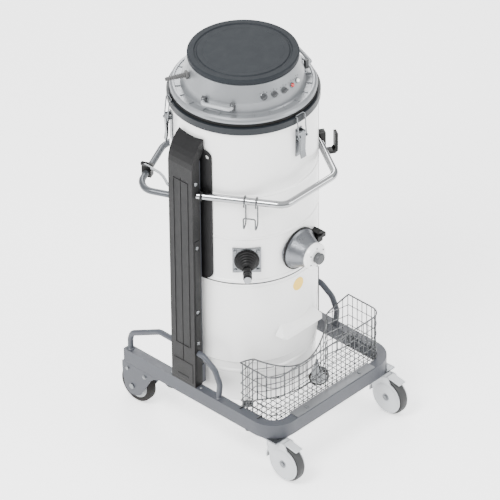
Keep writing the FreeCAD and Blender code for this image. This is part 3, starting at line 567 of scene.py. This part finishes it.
# --- column and frame trim ------------------------------------------------
def column_trim():
    """On each cover: border ribs, a foot moulding, raised panels, a dark slot and a rail collar."""
    for side, sign in SIDES:
        ribs = []
        low, high = COVER_PANEL_Z
        for y in (-30, 28):
            ribs.append(box_data(at(sign * (COLUMN_X + 0.5), y, (low + high) / 2), (2.4, 2.6, high - low)))
        for z in COVER_PANEL_Z:
            ribs.append(box_data(at(sign * (COLUMN_X + 0.5), -1, z), (2.4, 60, 2.6)))
        ribs.append(box_data(at(sign * (COLUMN_X + 0.3), 0, 236), (2.2, 80, 70)))
        bevel(piece(f"column_ribs_{side}", *gather(ribs), "column_plastic", "chassis"), 0.8)
        inset = [box_data(at(sign * 259, face * (COLUMN_HALF + 0.5), z), (20, 2.0, 250))
                 for face in (-1, 1) for z in (600, 330)]
        bevel(piece(f"column_panels_{side}", *gather(inset), "column_plastic", "chassis"), 0.8)
        slot = box_data(at(sign * (COLUMN_X + 1.2), 0, 216), (2.0, 46, 7))
        bevel(piece(f"column_slot_{side}", *slot, "black_plastic", "chassis"), 0.5)
        along = Vector((*RAIL_RUN, 0)).normalized()
        along.x *= -sign
        collar = lathe_data([(11.2, 0), (15.5, 0), (15.5, 5), (14, 7), (11.2, 7)],
                            at(sign * RAIL_END[0], -COLUMN_HALF, RAIL_END[1]) + along * (5 * MM), along, 40)
        piece(f"rail_collar_{side}", *collar, "black_plastic", "chassis", smooth=30)


def frame_trim():
    """Weld-on pads under the hoops, a bolt beside each column and bolts on the rear wheel brackets."""
    for side, sign in SIDES:
        pads = [lathe_data([(9.1, 0), (13.5, 0), (13, 1.6), (10.5, 3.6), (9.1, 5)],
                           at(sign * HOOP_X, y, HOOP_FOOT_Z), UP, 32) for y in HOOP_FEET_Y]
        piece(f"hoop_pads_{side}", *gather(pads), "frame_paint", "chassis", smooth=30)
        plate_bolts = [screw_data(at(sign * PLATE_BOLT_X, y, PLATE_BOLT_Z), UP, 5.2, 3.4) for y in (-60, 60)]
        piece(f"frame_bolts_{side}", *gather(plate_bolts), "zinc", "chassis", smooth=30)
        bracket = [lathe_data([(0.01, 0), (7.5, 0), (7.5, 1), (6, 1.4), (5.8, 4.2), (0.01, 4.2)],
                              at(sign * (COLUMN_X - 0.1), y, BRACKET_BOLT_Z), RIGHT * sign, 24)
                   for y in BRACKET_BOLTS_Y]
        piece(f"bracket_bolts_{side}", *gather(bracket), "zinc", "chassis", smooth=30)


# --- drum and head trim ---------------------------------------------------
def drum_trim():
    """Yellow marker disc, seams and small fixings on the drum."""
    steps = 40
    verts, faces = [], []
    for layer, depth in ((0, 0.2), (1, 1.2)):
        reach = MARKER_R - 0.5 * layer
        for k in range(steps):
            a = 2 * math.pi * k / steps
            x, z = reach * math.cos(a), reach * math.sin(a)
            verts.append(at(x, -math.sqrt((CONTAINER_R + depth) ** 2 - x * x), MARKER_Z + z))
    faces += [(k, (k + 1) % steps, steps + (k + 1) % steps, steps + k) for k in range(steps)]
    faces += [tuple(range(steps)), tuple(range(2 * steps - 1, steps - 1, -1))]
    piece("marker_disc", verts, faces, YELLOW, "container", smooth=30)
    lathe("container_hem", [(CONTAINER_R + 0.2, 549), (CONTAINER_R + 1.6, 550), (CONTAINER_R + 1.6, 553),
                            (CONTAINER_R + 0.2, 554)],
          at(0, 0, 0), UP, "drum_paint", "container", 128)
    lathe("chamber_hem", [(DRUM_R - 0.5, 572), (DRUM_R + 1.4, 573.5), (DRUM_R + 1.4, 581),
                          (DRUM_R - 0.5, 583)],
          at(0, 0, 0), UP, "drum_paint", "chassis", 128)
    lathe("inlet_gasket", [(64.2, 222), (68, 222), (68, 227), (64.2, 227)], at(0, 0, INLET_Z), FORWARD,
          "black_rubber", "chassis", 72)
    fixings = []
    for k in range(6):
        a = math.radians(60 * k + 30)
        fixings.append(screw_data(at(CAP_SCREW_RING * math.cos(a), -CAP_FACE - 0.1,
                                     INLET_Z + CAP_SCREW_RING * math.sin(a)), FORWARD, 2.6, 1.8))
    piece("cap_screws", *gather(fixings), "zinc", "inlet_cap", smooth=30)
    lathe("cap_knob", [(0.01, CAP_FACE), (17.4, CAP_FACE), (15.4, 300.5), (18.4, 308.6), (17.2, 312.4),
                       (14.8, 314.3), (0.01, 314.3)],
          at(0, 0, INLET_Z), FORWARD, "grey_plastic", "inlet_cap", 48)
    lathe("knob_tip", [(0.01, 329.0), (11.6, 329.0), (11.6, 330.5), (9.5, 332.2), (0.01, 332.6)],
          at(0, 0, SHAKER_Z), outward(SHAKER_AZ), "light_panel", "shaker_knob", 40)


def head_trim():
    """Bezels, lamps and marks on the panel, ribs in the head's groove, lid bead, gasket and gland nut."""
    tilt = math.radians(PANEL_TILT)
    bezels, marks, lamps = [], [], []
    for azimuth in PANEL_AZ:
        normal = (outward(azimuth) * math.cos(tilt) + UP * math.sin(tilt)).normalized()
        spot = around(PANEL_R, azimuth, PANEL_Z)
        if azimuth < FIRST_LAMP_AZ:
            bezels.append(lathe_data([(9.2, -0.6), (11.2, -0.6), (11.2, 0.9), (10.6, 1.4), (9.2, 1.4)],
                                     spot, normal, 40))
        else:
            bezels.append(lathe_data([(6.6, -0.6), (9.0, -0.6), (9.0, 1.8), (8.2, 2.8), (6.6, 2.8)],
                                     spot, normal, 40))
            lamps.append(lathe_data([(0.01, 0.6), (6.5, 0.6), (6.5, 3.5), (5.4, 6.4), (3.2, 8.0),
                                     (0.01, 8.5)], spot, normal, 40))
        up = (UP - normal * normal.z).normalized()
        side = up.cross(normal)
        for angle in (-40, 0, 40):
            a = math.radians(angle)
            direction = up * math.cos(a) + side * math.sin(a)
            turn = Matrix((direction, normal, direction.cross(normal))).transposed()
            marks.append(box_data(spot + direction * (16 * MM) + normal * (0.35 * MM),
                                  (3.2, 0.7, 0.9), turn))
    piece("panel_bezels", *gather(bezels), "zinc", "chassis", smooth=30)
    red = piece("red_lamp", *lamps[0], "red_lens", "chassis", smooth=30)
    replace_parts(red, "pilot_lamps")
    piece("clear_lamp", *lamps[1], CLEAR_LENS, "chassis", smooth=30)
    head_grips()
    piece("panel_marks", *gather(marks), "black_plastic", "chassis")
    ribs = []
    for k in range(24):
        azimuth = 15 * k + 7.5
        turn = Matrix.Rotation(math.radians(azimuth), 3, "Z")
        ribs.append(box_data(around(196.5, azimuth, 1154.6), (16, 2.4, 3.4), turn))
    bevel(piece("groove_ribs", *gather(ribs), "head_paint", "chassis"), 0.5)
    lathe("lid_bead", [(118, 1258.2), (119.5, 1259.2), (121.5, 1259.2), (123, 1258.2)], at(0, 0, 0), UP,
          "lid_plastic", "chassis", 128)
    lathe("head_gasket", [(205.8, 1131), (221.2, 1131), (221.2, 1140.5), (205.8, 1140.5)], at(0, 0, 0), UP,
          "black_rubber", "chassis", 128)
    lathe("gland_nut", [(8.6, 176.5), (13.6, 176.5), (13.6, 182), (12.4, 183.5), (8.6, 183.5)],
          at(0, 0, 1216), outward(155), "gland_plastic", "chassis", 6)


def head_grips():
    """Round bar between two grey mounts on each side of the head."""
    bars, mounts, screws = [], [], []
    for azimuth in GRIP_AZ:
        turn = Matrix.Rotation(math.radians(azimuth), 3, "Z")

        def spot(radius, across, z):
            return at(0, 0, z) + turn @ Vector((radius * MM, across * MM, 0))

        path = [(189, -GRIP_HALF), (197, -45), (201.5, -41), (203, -34), (203, 34), (201.5, 41), (197, 45),
                (189, GRIP_HALF)]
        bars.append(wire_data([spot(r, y, GRIP_Z) for r, y in path], 5.6 * MM, 16))
        for y in (-GRIP_HALF, GRIP_HALF):
            mounts.append(box_data(spot(185.5, y, GRIP_Z), (11, 13, 28), turn))
            screws += [screw_data(spot(190.6, y, GRIP_Z + dz), outward(azimuth), 3.0, 2.0)
                       for dz in (-9.5, 9.5)]
    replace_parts(piece("grip_bars", *gather(bars), "light_panel", "chassis", smooth=40), "head_grips")
    bevel(piece("grip_mounts", *gather(mounts), "grey_plastic", "chassis"), 1.2)
    piece("grip_screws", *gather(screws), "zinc", "chassis", smooth=30)


def lever_trim():
    """Release lever: round hub on its pin, bent bar and a dark knob at the end."""
    x, y, z = LEVER_PIVOT
    path = [(x, y + 3, z + 1), (x, y + 18, z + 2.5), (-236, 92, 855), (-229, 106, 858), (-221.5, 124, 861),
            (-217, 142, 862.3), (LEVER_END_X, 160, LEVER_BAR_Z), (LEVER_END_X, 208, LEVER_BAR_Z)]
    bar = wire_data([at(*p) for p in path], 4.4 * MM, 16)
    hub = lathe_data([(4.1, -4.6), (7.8, -4.6), (7.8, 4.6), (4.1, 4.6)], at(x, y, z), RIGHT, 40)
    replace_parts(piece("lever_bar", *gather([bar, hub]), "light_panel", "release_lever", smooth=35),
                "release_lever")
    knob = lathe_data([(0.01, 0), (6.4, 0), (7.2, 1.5), (7.2, 10), (5.6, 12.5), (0.01, 13)],
                      at(LEVER_END_X, 206, LEVER_BAR_Z), BACKWARD, 32)
    piece("lever_knob", *knob, "black_plastic", "release_lever", smooth=35)


# --- stage ---------------------------------------------------------------
def stage():
    """Bright floor, a sky that darkens towards the horizon and four round lamps."""
    bpy.ops.mesh.primitive_plane_add(size=40, location=(0, 0, 0))
    floor = bpy.context.object
    floor.name = "floor"
    glow = FLOOR_FINISH.node_tree.nodes["Principled BSDF"]
    glow.inputs["Emission Color"].default_value = (1, 1, 1, 1)
    glow.inputs["Emission Strength"].default_value = FLOOR_GLOW
    floor.data.materials.append(FLOOR_FINISH)
    world = bpy.data.worlds.new("studio")
    world.use_nodes = True
    tree = world.node_tree
    sky = tree.nodes["Background"]
    sky.inputs["Strength"].default_value = SKY_STRENGTH
    way = tree.nodes.new("ShaderNodeTexCoord")
    split = tree.nodes.new("ShaderNodeSeparateXYZ")
    ramp = tree.nodes.new("ShaderNodeValToRGB")
    ramp.color_ramp.elements[0].position = 0.0
    ramp.color_ramp.elements[0].color = (0.20, 0.21, 0.225, 1)
    ramp.color_ramp.elements[1].position = 0.75
    ramp.color_ramp.elements[1].color = (1, 1, 1, 1)
    tree.links.new(way.outputs["Generated"], split.inputs["Vector"])
    tree.links.new(split.outputs["Z"], ramp.inputs["Fac"])
    tree.links.new(ramp.outputs["Color"], sky.inputs["Color"])
    bpy.context.scene.world = world
    for name, place, size, power in LAMPS:
        light = bpy.data.lights.new(name, "AREA")
        light.shape = "DISK"
        light.size = size
        light.energy = power
        obj = bpy.data.objects.new(name, light)
        obj.location = place
        obj.rotation_mode = "QUATERNION"
        obj.rotation_quaternion = (LAMP_TARGET - Vector(place)).to_track_quat("-Z", "Y")
        bpy.context.scene.collection.objects.link(obj)


def camera():
    """Long lens, high on the front left corner."""
    flat, rise = math.cos(CAMERA_ELEVATION), math.sin(CAMERA_ELEVATION)
    back = Vector((CAMERA_HEADING[0] * flat, CAMERA_HEADING[1] * flat, rise)).normalized()
    turn = (-back).to_track_quat("-Z", "Y") @ Quaternion((0, 0, 1), CAMERA_ROLL)
    right, up = turn @ RIGHT, turn @ BACKWARD
    centre = at(0, 0, TOP_Z) + right * CAMERA_SHIFT[0] + up * CAMERA_SHIFT[1]
    data = bpy.data.cameras.new("camera")
    data.lens, data.sensor_width = CAMERA_LENS, CAMERA_SENSOR
    data.clip_end = 100
    cam = bpy.data.objects.new("camera", data)
    cam.rotation_mode = "QUATERNION"
    cam.rotation_quaternion = turn
    cam.location = centre + back * (CAMERA_WIDTH * CAMERA_LENS / CAMERA_SENSOR)
    bpy.context.scene.collection.objects.link(cam)
    bpy.context.scene.camera = cam


dress_frame()
wheels()
castor_trim()
basket()
column_trim()
frame_trim()
drum_trim()
head_trim()
lever_trim()
stage()
camera()
